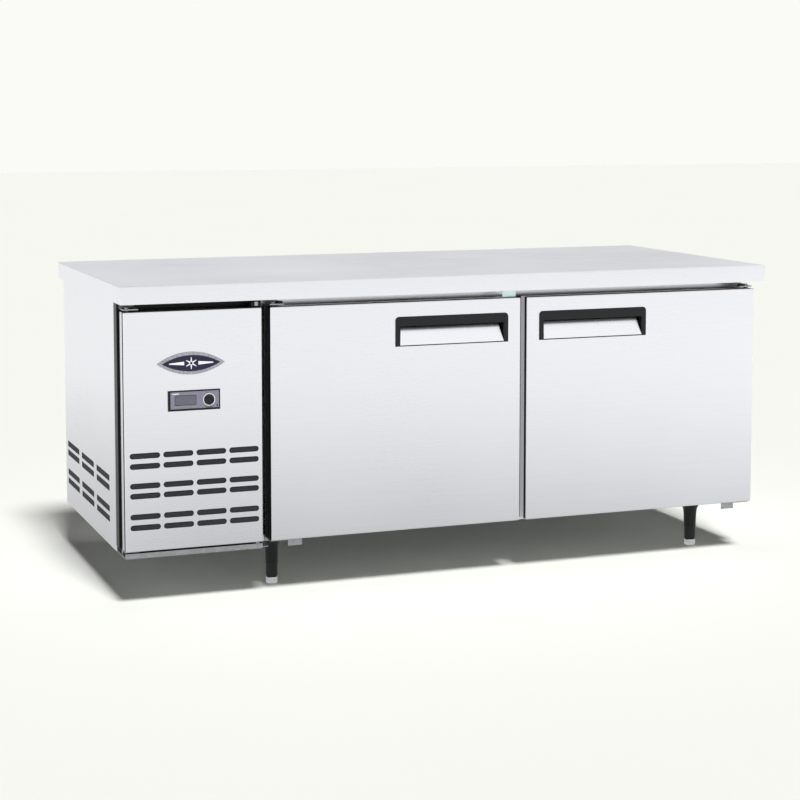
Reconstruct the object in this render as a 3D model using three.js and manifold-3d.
// Two-door undercounter refrigerator with its machine compartment at the left end.
// Millimetres, +Z up. Inside the cabinet group, X runs from the worktop's left end and
// Y from its front edge towards the back. The group is then shifted, so that the part's
// origin is the middle of its footprint, on the floor.
import * as THREE from 'three';
import { mergeVertices } from 'three/addons/utils/BufferGeometryUtils.js';
import Module from 'manifold-3d';

const wasm = await Module();
wasm.setup();

// ---------------------------------------------------------------- driving dimensions

const GAP = 0.3; // clearance between pieces that touch
const SHEET = 1.5; // folded steel panels
const CUT = 2; // how far a cutting tool runs past the face it opens

const WORKTOP = { width: 1800, depth: 800, top: 800, fascia: 45, sheet: 2, lip: 18, board: 21.7 };
const BODY = { left: 5, right: 1795, front: 105, back: 750, bottom: 125, top: 775 };
const PARTITION_X = 376; // where the machine compartment ends and the cold box begins
const BASE = { sheet: 2, lipFront: 20, lipBottom: 122, lipTop: 135, lipEnd: 361 };

const DOOR = {
  front: 15, // the face of the door, behind the worktop's edge
  pan: 39, // depth of the folded steel pan
  panel: 17.7, // depth of the plastic inner panel
  plateau: 13, // the raised middle of the inner panel
  plateauInset: 57,
  width: 687,
  bottom: 140,
  top: 735,
  leftStart: 383,
  rightStart: 1088,
  pivot: 15, // hinge axis, in from the hinged edge
  pivotY: 37,
};
const GASKET = { inset: 12, width: 18, depth: 13.9 };
const COVER = { left: 9, right: 361, pan: 37, sealStep: 60, sealBack: 71, sealInset: 12, sealWidth: 12 };
const BRACKET = { sheet: 3, reach: 40, upstand: 14, front: 9, skirtFrom: 48, skirtTo: 85, skirtBottom: 121 };
const PIN = { door: 5, cover: 4, clearance: 0.6, depth: 20 };

const MACHINE_FRAME = { front: 71.5, left: 35, right: 346, bottom: 165, top: 720 };
const FACE_FRAME = { front: 86.5, bottom: 125, windowBottom: 180, windowTop: 700, margin: 45 };
const LINER = { left: 426, right: 1745, front: 105.3, back: 698, bottom: 175, top: 715 };
const FOAM_FRONT = 107;
const FLANGE = 20; // return flanges of the side panels

const SLOT = { length: 76.5, height: 14 };
const COVER_SLOTS = { first: 59.6, pitch: 84.3, columns: 4, rows: [379, 353, 304, 279, 227, 200] };
const SIDE_SLOT = { length: 160, height: 16 };
const SIDE_SLOTS = { first: 258, pitch: 193, columns: 3, rows: [297, 272, 218, 192] };
const BACK_SLOTS = { first: 110, pitch: 160, columns: 2, rows: [470, 440, 410, 380, 350, 320], length: 130 };

const HANDLE = {
  inset: 36, // in from the free edge of the door
  width: 316,
  bottom: 620,
  top: 697,
  rim: 1.5, // thickness of the flange that lies on the door's face
  overlap: 4, // width of that flange past the cup
  side: 12.5,
  mouthTop: 668,
  cupDepth: 35,
  barBack: 24, // where the pull bar ends and the hidden finger space begins
  barHeight: 20,
  corner: 10,
  wall: 2,
  flapRise: 36,
  flapWall: 2.2,
};

const LEG = {
  x: [421, 1655],
  y: [142, 660],
  top: 124.7,
  bottom: 17.3,
  bore: 5.5,
  boreTop: 62,
  taper: [[15.5, 52], [16.5, 54], [17.5, 88], [19, 102], [27, 117]], // radius and height of each ring
};
const FOOT = { radius: 15, height: 17, bevel: 3, stem: 4.5, stemTop: 56 };

const SHELF = { z: 432.1, bar: 6, wire: 4, front: 146, back: 690, pitch: 52, split: 5 };
const POST = { halfWidth: 46, offset: -6.5, back: 140, ledgeHalf: 25 }; // the post between the doors
const RAIL = { front: 145, back: 690, top: 431.8, bottom: 412, ledge: 15 };

const COMPRESSOR = {
  x: 190,
  y: 480,
  radius: 88,
  plate: { halfX: 90, halfY: 80, thickness: 4 },
  // radius and height of each ring of the shell, from the base plate to the crown
  shell: [[66, 130.3], [70, 143.3], [88, 160], [88, 285], [72, 315], [40, 335]],
  crown: 340,
  terminals: { half: 22, depth: 14, bottom: 180, top: 245 },
};
const CONDENSER = {
  left: 40, right: 340, front: 130, back: 175, bottom: 127.3, top: 440, fanZ: 283, grooves: 18,
};
const CONDENSER_FAN = { radius: 106, hole: 112, front: 183, back: 202.5, hub: 24, motor: 38, motorDepth: 60 };
const SHROUD_BACK = 205;
const EVAPORATOR = { left: 426.3, right: 530, front: 250, back: 620, bottom: 470, top: 690 };
const EVAPORATOR_COIL = { left: 428, right: 470, front: 262, back: 608, bottom: 482, top: 678, groove: 12 };
const INTAKE = { starts: [275, 390, 505], length: 90, left: 450, right: 515 };
const EVAPORATOR_FAN = { y: 435, z: 585, radius: 66, hole: 72, from: 503, to: 523, hub: 16, motor: 24 };
const PIPE = { radius: 5, bend: 18, y: 480, z: 600, startZ: 250, riserX: 312 };
const DISCHARGE = { radius: 4, bend: 7, z: 265, turnY: 330, sideX: 356, endY: 152 };
const ELECTRICAL_BOX = { right: 80, front: 560, back: 690, bottom: 480, top: 660, lid: 4 };
const INLET = { x: 300, z: 180, bore: 4, stem: 9, flange: 14 };

const BADGE = { x: 178, z: 604, width: 172, height: 56, depth: 3.5 };
const CONTROLLER = { x: 185, z: 511, width: 133, height: 51, bezel: 2.2, rim: 3, depth: 30 };
const KNOB = { x: 223, z: 511, radius: 13, depth: 9, shaft: 3, bore: 3.3 };

// ---------------------------------------------------------------- finishes

const finish = (color, roughness, metalness) => ({ color, roughness, metalness });
const STEEL = finish(0xcfd0d4, 0.35, 0.9);
const ZINC = finish(0xb4b6b8, 0.45, 0.8);
const CHROME = finish(0xe4e4e6, 0.12, 1);
const ALUMINIUM = finish(0xd3d5d6, 0.5, 0.8);
const COPPER = finish(0xb87048, 0.35, 1);
const BLACK_PLASTIC = finish(0x1a1b1c, 0.5, 0);
const BLACK_PAINT = finish(0x151516, 0.4, 0.1);
const GREY_RUBBER = finish(0x3c3d3e, 0.75, 0);
const FOAM = finish(0xe8d79a, 0.9, 0);
const BOARD = finish(0xb98f5e, 0.8, 0);
const WIRE_COAT = finish(0xdfe2e2, 0.4, 0);
const BADGE_BLUE = finish(0x1d2540, 0.3, 0.2);

// ---------------------------------------------------------------- shape helpers

// A closed three.js geometry as a solid that can be cut and joined.
function solid(geometry) {
  geometry.deleteAttribute('normal');
  geometry.deleteAttribute('uv');
  const merged = mergeVertices(geometry, 1e-4);
  return new wasm.Manifold(
    new wasm.Mesh({
      numProp: 3,
      vertProperties: Float32Array.from(merged.attributes.position.array),
      triVerts: Uint32Array.from(merged.index.array),
    })
  );
}

function block(xa, xb, ya, yb, za, zb) {
  const geometry = new THREE.BoxGeometry(Math.abs(xb - xa), Math.abs(yb - ya), Math.abs(zb - za));
  geometry.translate((xa + xb) / 2, (ya + yb) / 2, (za + zb) / 2);
  return solid(geometry);
}

const AXES = {
  x: new THREE.Vector3(1, 0, 0),
  y: new THREE.Vector3(0, 1, 0),
  z: new THREE.Vector3(0, 0, 1),
};
// Each frame's third direction is the one that an outline is extruded along.
const FACING = {
  x: new THREE.Matrix4().makeBasis(AXES.y, AXES.z, AXES.x),
  y: new THREE.Matrix4().makeBasis(AXES.z, AXES.x, AXES.y),
  z: new THREE.Matrix4(),
};

// A profile of [radius, station] points turned about an axis through the given centre.
function turned(profile, axis, centre, segments = 16) {
  const points = profile.map(([radius, station]) => new THREE.Vector2(radius, station));
  const geometry = new THREE.LatheGeometry(points, segments);
  geometry.rotateX(Math.PI / 2);
  geometry.applyMatrix4(FACING[axis]);
  geometry.translate(...centre);
  return solid(geometry);
}

function rod(radius, from, to, axis, centre, segments = 16) {
  return turned([[0, from], [radius, from], [radius, to], [0, to]], axis, centre, segments);
}

// An outline given in the plane of X and Z (facing Y) or of Y and Z (facing X).
function plate(shape, facing, from, to, curveSegments = 6) {
  const geometry = new THREE.ExtrudeGeometry(shape, { depth: to - from, bevelEnabled: false, curveSegments });
  if (facing === 'y') {
    geometry.applyMatrix4(new THREE.Matrix4().makeBasis(AXES.x, AXES.z, AXES.y.clone().negate()));
    geometry.translate(0, to, 0);
  } else {
    geometry.applyMatrix4(FACING.x);
    geometry.translate(from, 0, 0);
  }
  return solid(geometry);
}

function stadium(centreU, centreV, length, height) {
  const r = height / 2;
  const reach = length / 2 - r;
  const shape = new THREE.Shape();
  shape.absarc(centreU + reach, centreV, r, -Math.PI / 2, Math.PI / 2, false);
  shape.absarc(centreU - reach, centreV, r, Math.PI / 2, 1.5 * Math.PI, false);
  return shape;
}

// Rows and columns of rounded vent slots, as tools that cut through a panel.
function ventCutters(layout, slot, facing, from, to) {
  const cutters = [];
  for (const z of layout.rows) {
    for (let column = 0; column < layout.columns; column += 1) {
      const along = layout.first + column * layout.pitch;
      const outline = stadium(along, z, layout.length ?? slot.length, slot.height);
      cutters.push(plate(outline, facing, from - CUT, to + CUT, 3));
    }
  }
  return cutters;
}

const join = (first, ...others) => others.reduce((whole, other) => whole.add(other), first);
const cut = (first, ...tools) => tools.reduce((whole, tool) => whole.subtract(tool), first);

// A polyline with rounded corners, as a tube with a round section.
function pipe(points, radius, bend, steps) {
  const corners = points.map((point) => new THREE.Vector3(...point));
  const path = new THREE.CurvePath();
  let start = corners[0];
  for (let i = 1; i < corners.length - 1; i += 1) {
    const before = corners[i].clone().sub(corners[i - 1]).setLength(bend);
    const after = corners[i + 1].clone().sub(corners[i]).setLength(bend);
    const bendIn = corners[i].clone().sub(before);
    const bendOut = corners[i].clone().add(after);
    path.add(new THREE.LineCurve3(start, bendIn));
    path.add(new THREE.QuadraticBezierCurve3(bendIn, corners[i], bendOut));
    start = bendOut;
  }
  path.add(new THREE.LineCurve3(start, corners[corners.length - 1]));
  const section = new THREE.Shape().absarc(0, 0, radius, 0, 2 * Math.PI, false);
  return solid(new THREE.ExtrudeGeometry(section, { steps, extrudePath: path, curveSegments: 4 }));
}

// A hub with pitched blades, turning about the given axis.
function fanWheel({ radius, hub, blades, from, to, boreRadius, boreDepth, boreFromStart }, axis, centre) {
  let wheel = rod(hub, from, to, axis, [0, 0, 0]);
  const bladeLength = radius - hub / 2;
  const pitch = 0.55;
  for (let i = 0; i < blades; i += 1) {
    const blade = new THREE.BoxGeometry(bladeLength, hub * 1.5, 2);
    blade.rotateX(pitch);
    blade.translate(hub / 2 + bladeLength / 2, 0, (from + to) / 2);
    blade.rotateZ((2 * Math.PI * i) / blades);
    blade.applyMatrix4(FACING[axis]);
    wheel = wheel.add(solid(blade));
  }
  wheel = wheel.intersect(rod(radius, from, to, axis, [0, 0, 0], 24));
  const bore = boreFromStart
    ? rod(boreRadius, from - CUT, from + boreDepth, axis, [0, 0, 0], 12)
    : rod(boreRadius, to - boreDepth, to + CUT, axis, [0, 0, 0], 12);
  return wheel.subtract(bore).translate(centre);
}

// ---------------------------------------------------------------- the scene graph

function assembly(parent) {
  const group = new THREE.Group();
  if (parent) parent.add(group);
  return group;
}

function piece(group, name, body, look) {
  const { numProp, vertProperties, triVerts } = body.getMesh();
  const geometry = new THREE.BufferGeometry();
  geometry.setAttribute('position', new THREE.BufferAttribute(vertProperties, numProp));
  geometry.setIndex(new THREE.BufferAttribute(triVerts, 1));
  const mesh = new THREE.Mesh(geometry, new THREE.MeshStandardMaterial(look));
  mesh.name = name;
  group.add(mesh);
}

// ---------------------------------------------------------------- worktop and casing

function addWorktop(group) {
  const { width, depth, top, fascia, sheet, lip, board } = WORKTOP;
  const under = top - fascia;
  const shell = join(
    cut(
      block(0, width, 0, depth, under, top),
      block(sheet, width - sheet, sheet, depth - sheet, under - CUT, top - sheet)
    ),
    block(sheet / 2, width - sheet / 2, sheet / 2, lip, under, under + sheet),
    block(sheet / 2, width - sheet / 2, depth - lip, depth - sheet / 2, under, under + sheet)
  );
  piece(group, 'worktop_shell', shell, STEEL);
  const edge = sheet + GAP;
  const boardTop = top - sheet - GAP;
  piece(
    group,
    'worktop_board',
    block(edge, width - edge, edge, depth - edge, boardTop - board, boardTop),
    BOARD
  );
}

function addCasing(group) {
  const { left, right, front, back, bottom, top } = BODY;
  const inside = back - SHEET - GAP;
  const flangeBottom = bottom + SHEET + 2 * GAP;
  const leftPanel = cut(
    join(
      block(left, left + SHEET, front, inside, bottom, top),
      block(left, left + FLANGE, front, front + SHEET, flangeBottom, top)
    ),
    ...ventCutters(SIDE_SLOTS, SIDE_SLOT, 'x', left, left + SHEET)
  );
  piece(group, 'left_side_panel', leftPanel, STEEL);
  const rightPanel = join(
    block(right - SHEET, right, front, inside, bottom, top),
    block(right - FLANGE, right, front, front + SHEET, flangeBottom, top)
  );
  piece(group, 'right_side_panel', rightPanel, STEEL);
  const backPanel = cut(
    block(left, right, back - SHEET, back, bottom, top),
    ...ventCutters(BACK_SLOTS, SIDE_SLOT, 'y', back - SHEET, back),
    rod(INLET.stem + GAP, back - SHEET - CUT, back + CUT, 'y', [INLET.x, 0, INLET.z])
  );
  piece(group, 'back_panel', backPanel, STEEL);
  const pipeHole = rod(
    PIPE.radius + 2 * GAP, PARTITION_X - CUT, LINER.left + CUT, 'x', [0, PIPE.y, PIPE.z], 12
  );
  const underpan = cut(
    join(
      block(PARTITION_X, right - SHEET - GAP, front, inside, bottom, bottom + SHEET),
      block(PARTITION_X, PARTITION_X + SHEET, front, inside, bottom, top)
    ),
    pipeHole
  );
  piece(group, 'cold_box_underpan', underpan, ZINC);
  const linerOuter = [
    LINER.left - SHEET, LINER.right + SHEET, LINER.front, LINER.back + SHEET,
    LINER.bottom - SHEET, LINER.top + SHEET,
  ];
  const liner = cut(
    block(...linerOuter),
    block(LINER.left, LINER.right, LINER.front - CUT, LINER.back, LINER.bottom, LINER.top),
    pipeHole
  );
  piece(group, 'inner_liner', liner, ALUMINIUM);
  const [lx, rx, fy, by, bz, tz] = linerOuter;
  const foam = cut(
    block(
      PARTITION_X + SHEET + GAP, right - SHEET - GAP, FOAM_FRONT, inside, bottom + SHEET + GAP, top - GAP
    ),
    block(lx - GAP, rx + GAP, fy - CUT, by + GAP, bz - GAP, tz + GAP),
    pipeHole
  );
  piece(group, 'body_foam', foam, FOAM);
}

function addFrames(group) {
  const { left, right, front, top } = BODY;
  const back = front - GAP;
  const frame = MACHINE_FRAME;
  const machineFrame = cut(
    block(left, PARTITION_X - GAP, frame.front, back, DOOR.bottom, top),
    block(frame.left, frame.right, frame.front - CUT, back + CUT, frame.bottom, frame.top)
  );
  piece(group, 'machine_frame', machineFrame, BLACK_PLASTIC);
  const windows = [DOOR.leftStart, DOOR.rightStart].map((start) =>
    block(
      start + FACE_FRAME.margin, start + DOOR.width - FACE_FRAME.margin,
      FACE_FRAME.front - CUT, back + CUT, FACE_FRAME.windowBottom, FACE_FRAME.windowTop
    )
  );
  const faceFrame = cut(
    block(PARTITION_X, right, FACE_FRAME.front, back, FACE_FRAME.bottom, top), ...windows
  );
  piece(group, 'face_frame', faceFrame, STEEL);
  const { lipFront, lipBottom, lipTop, lipEnd, sheet } = BASE;
  const panLeft = left + SHEET + GAP;
  const base = join(
    block(panLeft, PARTITION_X - GAP, lipFront, BODY.back - SHEET - GAP, BODY.bottom, BODY.bottom + sheet),
    block(COVER.left, lipEnd, lipFront, lipFront + SHEET, lipBottom, lipTop)
  );
  piece(group, 'machine_base', base, ZINC);
}

// ---------------------------------------------------------------- legs and feet

function addLegs(group) {
  const tip = LEG.taper[0][0];
  const flange = LEG.taper[LEG.taper.length - 1][0];
  const profile = [
    [LEG.bore, LEG.bottom], [tip, LEG.bottom], ...LEG.taper, [flange, LEG.top], [0, LEG.top],
    [0, LEG.boreTop], [LEG.bore, LEG.boreTop], [LEG.bore, LEG.bottom],
  ];
  const footProfile = [
    [0, 0], [FOOT.radius - FOOT.bevel, 0], [FOOT.radius, FOOT.bevel],
    [FOOT.radius, FOOT.height - FOOT.bevel], [FOOT.radius - FOOT.bevel, FOOT.height],
    [FOOT.stem, FOOT.height], [FOOT.stem, FOOT.stemTop], [0, FOOT.stemTop],
  ];
  const rows = ['front', 'rear'];
  const sides = ['left', 'right'];
  rows.forEach((row, i) => {
    sides.forEach((side, j) => {
      const centre = [LEG.x[j], LEG.y[i], 0];
      piece(group, `leg_${row}_${side}`, turned(profile, 'z', centre, 12), BLACK_PLASTIC);
      piece(group, `foot_${row}_${side}`, turned(footProfile, 'z', centre, 12), CHROME);
    });
  });
}

// ---------------------------------------------------------------- inside the cold box

function addInterior(group) {
  const middle = (LINER.left + LINER.right) / 2;
  const post = middle + POST.offset;
  const mullion = join(
    block(
      post - POST.halfWidth, post + POST.halfWidth, LINER.front, POST.back,
      LINER.bottom + GAP, LINER.top - GAP
    ),
    block(
      middle - POST.ledgeHalf, middle + POST.ledgeHalf, POST.back - CUT, LINER.back - GAP,
      RAIL.top - SHEET, RAIL.top
    ),
    block(
      middle - SHEET / 2, middle + SHEET / 2, POST.back - CUT, LINER.back - GAP, RAIL.bottom, RAIL.top
    )
  );
  piece(group, 'centre_mullion', mullion, ALUMINIUM);
  const sides = [
    { name: 'left', wall: LINER.left + GAP, inward: 1 },
    { name: 'right', wall: LINER.right - GAP, inward: -1 },
  ];
  for (const { name, wall, inward } of sides) {
    const rail = join(
      block(wall, wall + inward * SHEET, RAIL.front, RAIL.back, RAIL.bottom, RAIL.top),
      block(wall, wall + inward * RAIL.ledge, RAIL.front, RAIL.back, RAIL.top - SHEET, RAIL.top)
    );
    piece(group, `shelf_rail_${name}`, rail, STEEL);
    const outer = wall + inward * 3;
    const inner = middle - (inward * SHELF.split) / 2;
    piece(group, `shelf_${name}`, wireShelf(Math.min(outer, inner), Math.max(outer, inner)), WIRE_COAT);
  }
}

function wireShelf(x0, x1) {
  const { z, bar, wire, front, back, pitch } = SHELF;
  let shelf = cut(
    block(x0, x1, front, back, z, z + bar),
    block(x0 + bar, x1 - bar, front + bar, back - bar, z - CUT, z + bar + CUT)
  );
  const count = Math.floor((x1 - x0 - 2 * bar) / pitch);
  const step = (x1 - x0 - bar) / count;
  for (let i = 1; i < count; i += 1) {
    const x = x0 + bar / 2 + i * step;
    shelf = shelf.add(block(x - wire / 2, x + wire / 2, front + 1, back - 1, z + 1, z + 1 + wire));
  }
  const braceY = (front + back) / 2;
  return shelf.add(block(x0 + 1, x1 - 1, braceY - wire / 2, braceY + wire / 2, z, z + wire));
}

function addEvaporator(cabinet, rotor) {
  const { left, right, front, back, bottom, top } = EVAPORATOR;
  const fanCentre = [0, EVAPORATOR_FAN.y, EVAPORATOR_FAN.z];
  const intakes = INTAKE.starts.map((y) =>
    block(INTAKE.left, INTAKE.right, y, y + INTAKE.length, bottom - CUT, bottom + SHEET + CUT)
  );
  const housing = cut(
    block(left, right, front, back, bottom, top),
    block(left - CUT, right - SHEET, front + SHEET, back - SHEET, bottom + SHEET, top - SHEET),
    rod(EVAPORATOR_FAN.hole, right - SHEET - CUT, right + CUT, 'x', fanCentre, 24),
    ...intakes
  );
  piece(cabinet, 'evaporator_housing', housing, ALUMINIUM);
  const coil = EVAPORATOR_COIL;
  const endBlock = 1.5 * coil.groove;
  const grooves = [];
  for (let y = coil.front + endBlock; y < coil.back - endBlock; y += 2 * coil.groove) {
    grooves.push(
      block(coil.left + 8, coil.right + CUT, y, y + coil.groove, coil.bottom - CUT, coil.top + CUT)
    );
  }
  const evaporatorCoil = cut(
    block(coil.left, coil.right, coil.front, coil.back, coil.bottom, coil.top),
    ...grooves
  );
  piece(cabinet, 'evaporator_coil', evaporatorCoil, ALUMINIUM);
  const barFrom = coil.right + 4;
  const motor = join(
    block(
      barFrom, barFrom + 3, front + SHEET + GAP, back - SHEET - GAP,
      EVAPORATOR_FAN.z - 6, EVAPORATOR_FAN.z + 6
    ),
    rod(EVAPORATOR_FAN.motor, barFrom, EVAPORATOR_FAN.from - 5, 'x', fanCentre),
    rod(2.5, EVAPORATOR_FAN.from - 6, EVAPORATOR_FAN.from + 12, 'x', fanCentre, 12)
  );
  piece(cabinet, 'evaporator_fan_motor', motor, BLACK_PAINT);
  const wheel = {
    radius: EVAPORATOR_FAN.radius, hub: EVAPORATOR_FAN.hub, blades: 5,
    from: EVAPORATOR_FAN.from, to: EVAPORATOR_FAN.to, boreRadius: 2.8, boreDepth: 14, boreFromStart: true,
  };
  piece(rotor, 'evaporator_fan_blades', fanWheel(wheel, 'x', fanCentre), BLACK_PLASTIC);
}

// ---------------------------------------------------------------- machine compartment

function addMachinery(cabinet, rotor) {
  const { x, y, radius, plate: foot, crown, terminals } = COMPRESSOR;
  const floor = CONDENSER.bottom;
  const profile = [[0, COMPRESSOR.shell[0][1]], ...COMPRESSOR.shell, [0, crown]];
  const compressor = join(
    block(x - foot.halfX, x + foot.halfX, y - foot.halfY, y + foot.halfY, floor, floor + foot.thickness),
    turned(profile, 'z', [x, y, 0], 24),
    block(
      x - terminals.half, x + terminals.half, y - radius - terminals.depth, y - radius + terminals.depth,
      terminals.bottom, terminals.top
    )
  );
  piece(cabinet, 'compressor', compressor, BLACK_PAINT);

  const { left, right, front, back, bottom, top, fanZ, grooves } = CONDENSER;
  const fins = [];
  const finPitch = (right - left - 20) / grooves;
  for (let i = 0; i < grooves; i += 1) {
    const from = left + 12 + i * finPitch;
    fins.push(block(from, from + finPitch / 2, front - CUT, back - 12, bottom + 16, top - 16));
  }
  piece(cabinet, 'condenser_coil', cut(block(left, right, front, back, bottom, top), ...fins), ALUMINIUM);

  const fanCentre = [x, 0, fanZ];
  const shroud = cut(
    block(left, right, back + GAP, SHROUD_BACK, bottom, top),
    block(
      left + SHEET, right - SHEET, back + GAP - CUT, SHROUD_BACK - SHEET, bottom + SHEET, top - SHEET
    ),
    rod(CONDENSER_FAN.hole, SHROUD_BACK - SHEET - CUT, SHROUD_BACK + CUT, 'y', fanCentre, 24)
  );
  piece(cabinet, 'condenser_shroud', shroud, BLACK_PAINT);
  const armFrom = SHROUD_BACK + GAP;
  const armReach = CONDENSER_FAN.hole + 12;
  const motor = join(
    block(x - armReach, x + armReach, armFrom, armFrom + 4, fanZ - 5, fanZ + 5),
    block(x - 5, x + 5, armFrom, armFrom + 4, fanZ - armReach, fanZ + armReach),
    rod(CONDENSER_FAN.motor, armFrom + 1, armFrom + CONDENSER_FAN.motorDepth, 'y', fanCentre, 20),
    rod(3, armFrom - 16, armFrom + 2, 'y', fanCentre, 12)
  );
  piece(cabinet, 'condenser_fan_motor', motor, BLACK_PAINT);
  const wheel = {
    radius: CONDENSER_FAN.radius, hub: CONDENSER_FAN.hub, blades: 5,
    from: CONDENSER_FAN.front, to: CONDENSER_FAN.back, boreRadius: 3.4, boreDepth: 15, boreFromStart: false,
  };
  piece(rotor, 'condenser_fan_blades', fanWheel(wheel, 'y', fanCentre), BLACK_PLASTIC);

  const suctionPoints = [
    [x + radius + GAP, PIPE.y, PIPE.startZ], [PIPE.riserX, PIPE.y, PIPE.startZ],
    [PIPE.riserX, PIPE.y, PIPE.z], [EVAPORATOR_COIL.left - GAP, PIPE.y, PIPE.z],
  ];
  piece(cabinet, 'suction_pipe', pipe(suctionPoints, PIPE.radius, PIPE.bend, 26), COPPER);
  const { sideX, turnY, endY, z } = DISCHARGE;
  const dischargePoints = [
    [x, y - radius - GAP, z], [x, turnY, z], [sideX, turnY, z], [sideX, endY, z], [right + GAP, endY, z],
  ];
  piece(cabinet, 'discharge_pipe', pipe(dischargePoints, DISCHARGE.radius, DISCHARGE.bend, 28), COPPER);

  const wall = BODY.left + SHEET + GAP;
  const { lid, ...housing } = ELECTRICAL_BOX;
  const electricalBox = join(
    block(wall, housing.right, housing.front, housing.back, housing.bottom, housing.top),
    block(
      housing.right - 1, housing.right + lid, housing.front - lid, housing.back + lid,
      housing.bottom - lid, housing.top + lid
    )
  );
  piece(cabinet, 'electrical_box', electricalBox, BLACK_PLASTIC);
  const panelBack = BODY.back;
  const inletProfile = [
    [INLET.bore, panelBack - 12], [INLET.stem, panelBack - 12], [INLET.stem, panelBack + GAP],
    [INLET.flange, panelBack + GAP], [INLET.flange, panelBack + 6], [11, panelBack + 8],
    [9, panelBack + 16], [INLET.bore, panelBack + 16], [INLET.bore, panelBack - 12],
  ];
  piece(cabinet, 'cable_inlet', turned(inletProfile, 'y', [INLET.x, 0, INLET.z], 12), BLACK_PLASTIC);
}

// ---------------------------------------------------------------- hinges

// A pair of brackets fixed to the cabinet, each with a pin that enters the door.
function addHinges(group, name, edge, inward, frameY, pinRadius, hasSkirt) {
  const axisX = edge + inward * DOOR.pivot;
  const near = edge + inward * 2;
  const far = edge + inward * BRACKET.reach;
  const back = frameY - GAP;
  const front = DOOR.pivotY - BRACKET.front;
  const plateTop = { from: DOOR.top + 4, to: DOOR.top + 4 + BRACKET.sheet };
  const top = join(
    block(near, far, front - 4, back, plateTop.from, plateTop.to),
    block(near, far, back - BRACKET.sheet, back, plateTop.from, plateTop.to + BRACKET.upstand),
    rod(pinRadius, DOOR.top - PIN.depth, plateTop.to - 1, 'z', [axisX, DOOR.pivotY, 0], 14)
  );
  piece(group, `${name}_hinge_top`, top, ZINC);
  const plateBottom = { from: DOOR.bottom - 4.5, to: DOOR.bottom - 1.5 };
  const reach = hasSkirt ? edge + inward * BRACKET.skirtTo : far;
  let bottom = join(
    block(near, reach, front, back, plateBottom.from, plateBottom.to),
    rod(pinRadius, plateBottom.to - 1, DOOR.bottom + PIN.depth, 'z', [axisX, DOOR.pivotY, 0], 14)
  );
  if (hasSkirt) {
    const skirt = edge + inward * BRACKET.skirtFrom;
    bottom = join(
      bottom,
      block(skirt, reach, front, front + BRACKET.sheet, BRACKET.skirtBottom, plateBottom.to),
      block(near, reach, back - BRACKET.sheet, back, FACE_FRAME.bottom, plateBottom.to)
    );
  } else {
    bottom = bottom.add(block(near, far, back - 12, back, BODY.bottom + BASE.sheet + GAP, plateBottom.to));
  }
  piece(group, `${name}_hinge_bottom`, bottom, ZINC);
}

function pinHoles(edge, inward, pinRadius, clearance) {
  const centre = [edge + inward * DOOR.pivot, DOOR.pivotY, 0];
  const reach = PIN.depth + CUT;
  return [
    rod(pinRadius + clearance, DOOR.top - reach, DOOR.top + CUT, 'z', centre, 14),
    rod(pinRadius + clearance, DOOR.bottom - CUT, DOOR.bottom + reach, 'z', centre, 14),
  ];
}

// ---------------------------------------------------------------- doors

// Every X on a door is measured from its free edge, so both hands share one description.
function addDoor(group, name, freeEdge, inward) {
  const hingeEdge = freeEdge + inward * DOOR.width;
  const { front, bottom, top } = DOOR;
  const panBack = front + DOOR.pan;
  const at = (distance) => freeEdge + inward * distance;
  const across = (from, to, ...rest) => block(at(from), at(to), ...rest);
  const full = DOOR.width;

  const cup = {
    left: HANDLE.inset + HANDLE.overlap,
    right: HANDLE.inset + HANDLE.width - HANDLE.overlap,
    bottom: HANDLE.bottom + 0.5,
    top: HANDLE.top - HANDLE.overlap,
  };
  const cupPocket = (margin, yFrom, yTo) =>
    across(cup.left - margin, cup.right + margin, yFrom, yTo, cup.bottom - margin, cup.top + margin);

  const shell = cut(
    across(0, full, front, panBack, bottom, top),
    across(SHEET, full - SHEET, front + SHEET, panBack + CUT, bottom + SHEET, top - SHEET),
    cupPocket(GAP, front - CUT, front + SHEET + CUT),
    ...pinHoles(hingeEdge, -inward, PIN.door, PIN.clearance)
  );
  piece(group, `${name}_shell`, shell, STEEL);

  const skin = SHEET + GAP;
  const foam = cut(
    across(skin, full - skin, front + skin, panBack, bottom + skin, top - skin),
    cupPocket(1, front, front + HANDLE.cupDepth + 1),
    ...pinHoles(hingeEdge, -inward, PIN.door, 2)
  );
  piece(group, `${name}_foam`, foam, FOAM);

  const panelFrom = panBack + GAP;
  const panelTo = panelFrom + DOOR.panel;
  const inset = DOOR.plateauInset;
  const innerPanel = join(
    across(0, full, panelFrom, panelTo, bottom, top),
    across(inset, full - inset, panelTo - 1, panelTo + DOOR.plateau, bottom + inset, top - inset)
  );
  piece(group, `${name}_inner_panel`, innerPanel, BLACK_PLASTIC);

  const gasketFrom = panelTo + GAP;
  const gasketTo = gasketFrom + GASKET.depth;
  const outer = GASKET.inset;
  const inner = GASKET.inset + GASKET.width;
  const gasket = cut(
    across(outer, full - outer, gasketFrom, gasketTo, bottom + outer, top - outer),
    across(inner, full - inner, gasketFrom - CUT, gasketTo + CUT, bottom + inner, top - inner)
  );
  piece(group, `${name}_gasket`, gasket, GREY_RUBBER);
  addHandle(group, name, at, cup);
}

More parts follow.
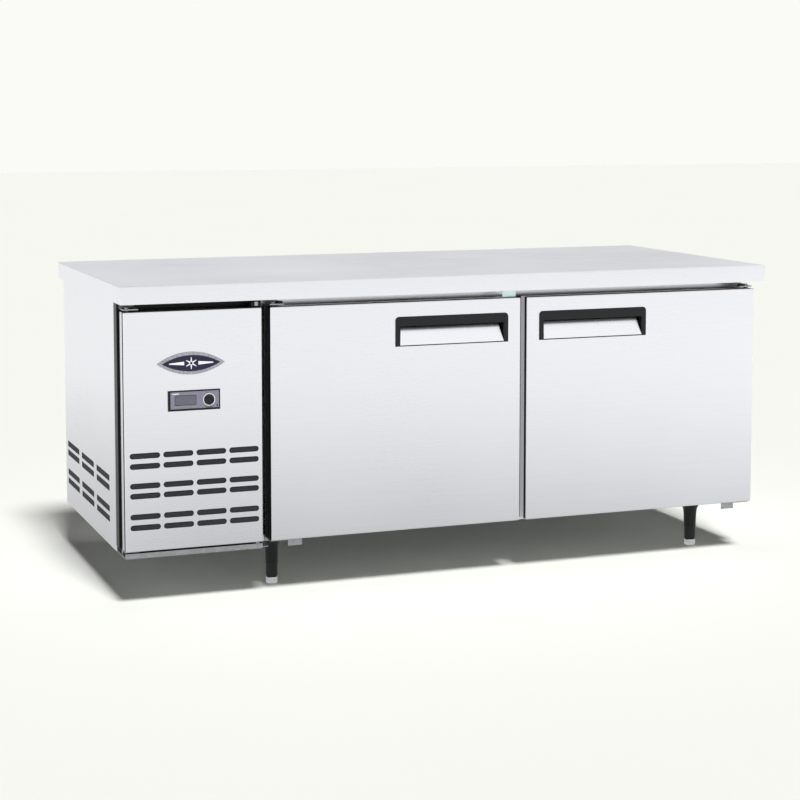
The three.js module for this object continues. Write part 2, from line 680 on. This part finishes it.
function addHandle(group, name, at, cup) {
  const { inset, width, rim, side, mouthTop, cupDepth, barBack, barHeight, corner, wall } = HANDLE;
  const faceY = DOOR.front - GAP;
  const rimFront = faceY - rim;
  const cupBack = DOOR.front + cupDepth;
  const x0 = Math.min(at(inset), at(inset + width));
  const x1 = x0 + width;
  const outline = new THREE.Shape();
  outline.moveTo(x0, HANDLE.bottom);
  outline.lineTo(x1, HANDLE.bottom);
  outline.lineTo(x1, HANDLE.top - corner);
  outline.absarc(x1 - corner, HANDLE.top - corner, corner, 0, Math.PI / 2, false);
  outline.absarc(x0 + corner, HANDLE.top - corner, corner, Math.PI / 2, Math.PI, false);
  const mouth = [at(inset + side), at(inset + width - side)];
  const mouthBottom = cup.bottom + wall;
  const cavityBack = cupBack - wall;
  const recess = cut(
    join(
      plate(outline, 'y', rimFront, faceY, 4),
      block(at(cup.left), at(cup.right), faceY - 0.5, cupBack, cup.bottom, cup.top)
    ),
    block(...mouth, rimFront - CUT, cavityBack, mouthBottom, mouthTop),
    block(...mouth, barBack, cavityBack, mouthTop - 1, mouthTop + barHeight)
  );
  piece(group, `${name}_handle_recess`, recess, BLACK_PLASTIC);

  const { flapRise, flapWall } = HANDLE;
  const from = { y: rimFront, z: mouthBottom + GAP };
  const to = { y: cavityBack - GAP, z: from.z + flapRise };
  const section = new THREE.Shape();
  section.moveTo(from.y, from.z);
  section.lineTo(from.y + flapWall, from.z);
  section.lineTo(to.y, to.z - flapWall);
  section.lineTo(to.y, to.z);
  const ends = [Math.min(...mouth), Math.max(...mouth)];
  piece(group, `${name}_handle_flap`, plate(section, 'x', ends[0] + GAP, ends[1] - GAP), STEEL);
}

// ---------------------------------------------------------------- machine cover

function addCover(group, knobGroup) {
  const { left, right, pan } = COVER;
  const { front, bottom, top } = DOOR;
  const panBack = front + pan;
  const holeRim = CONTROLLER.rim;
  const bodyHalf = { x: CONTROLLER.width / 2 - holeRim, z: CONTROLLER.height / 2 - holeRim };
  const cover = cut(
    block(left, right, front, panBack, bottom, top),
    block(left + SHEET, right - SHEET, front + SHEET, panBack + CUT, bottom + SHEET, top - SHEET),
    ...ventCutters(COVER_SLOTS, SLOT, 'y', front, front + SHEET),
    block(
      CONTROLLER.x - bodyHalf.x - GAP, CONTROLLER.x + bodyHalf.x + GAP, front - CUT, front + SHEET + CUT,
      CONTROLLER.z - bodyHalf.z - GAP, CONTROLLER.z + bodyHalf.z + GAP
    ),
    ...pinHoles(left, 1, PIN.cover, PIN.clearance)
  );
  piece(group, 'machine_cover', cover, STEEL);

  const { sealStep, sealBack, sealInset, sealWidth } = COVER;
  const sealFrom = panBack + GAP;
  const step = sealInset;
  const inner = sealInset + sealWidth;
  const seal = cut(
    join(
      block(left, right, sealFrom, sealStep, bottom, top),
      block(left + step, right - step, sealStep - 1, sealBack, bottom + step, top - step)
    ),
    block(left + inner, right - inner, sealFrom - CUT, sealBack + CUT, bottom + inner, top - inner)
  );
  piece(group, 'cover_seal', seal, GREY_RUBBER);

  const oval = new THREE.Shape();
  oval.absellipse(BADGE.x, BADGE.z, BADGE.width / 2, BADGE.height / 2, 0, 2 * Math.PI, false, 0);
  piece(group, 'badge', plate(oval, 'y', front - GAP - BADGE.depth, front - GAP, 16), BADGE_BLUE);

  const faceY = front - GAP;
  const bezelFront = faceY - CONTROLLER.bezel;
  const halfW = CONTROLLER.width / 2;
  const halfH = CONTROLLER.height / 2;
  const knobCentre = [KNOB.x, 0, KNOB.z];
  const controller = cut(
    join(
      block(
        CONTROLLER.x - halfW, CONTROLLER.x + halfW, bezelFront, faceY,
        CONTROLLER.z - halfH, CONTROLLER.z + halfH
      ),
      block(
        CONTROLLER.x - bodyHalf.x, CONTROLLER.x + bodyHalf.x, faceY - 1, faceY + CONTROLLER.depth,
        CONTROLLER.z - bodyHalf.z, CONTROLLER.z + bodyHalf.z
      )
    ),
    rod(KNOB.bore, bezelFront - CUT, bezelFront + 14, 'y', knobCentre, 14)
  );
  piece(group, 'controller', controller, BLACK_PLASTIC);
  const knobBack = bezelFront - GAP;
  const knobFront = knobBack - KNOB.depth;
  const knobProfile = [
    [0, knobFront], [KNOB.radius - 2, knobFront], [KNOB.radius - 1, knobFront + 1], [KNOB.radius, knobBack],
    [KNOB.shaft, knobBack], [KNOB.shaft, knobBack + 12], [0, knobBack + 12],
  ];
  piece(knobGroup, 'thermostat_knob', turned(knobProfile, 'y', knobCentre, 18), BLACK_PLASTIC);
}

// ---------------------------------------------------------------- the whole refrigerator

const refrigerator = new THREE.Group();
const cabinet = assembly(refrigerator);
addWorktop(cabinet);
addCasing(cabinet);
addFrames(cabinet);
addLegs(cabinet);
addInterior(cabinet);
addEvaporator(cabinet, assembly(cabinet));
addMachinery(cabinet, assembly(cabinet));
addHinges(cabinet, 'left_door', DOOR.leftStart, 1, FACE_FRAME.front, PIN.door, true);
addHinges(cabinet, 'right_door', DOOR.rightStart + DOOR.width, -1, FACE_FRAME.front, PIN.door, true);
addHinges(cabinet, 'cover', COVER.left, 1, MACHINE_FRAME.front, PIN.cover, false);
addDoor(assembly(cabinet), 'left_door', DOOR.leftStart + DOOR.width, -1);
addDoor(assembly(cabinet), 'right_door', DOOR.rightStart, 1);
const coverGroup = assembly(cabinet);
addCover(coverGroup, assembly(coverGroup));
cabinet.position.set(-WORKTOP.width / 2, -WORKTOP.depth / 2, 0);

export default refrigerator;
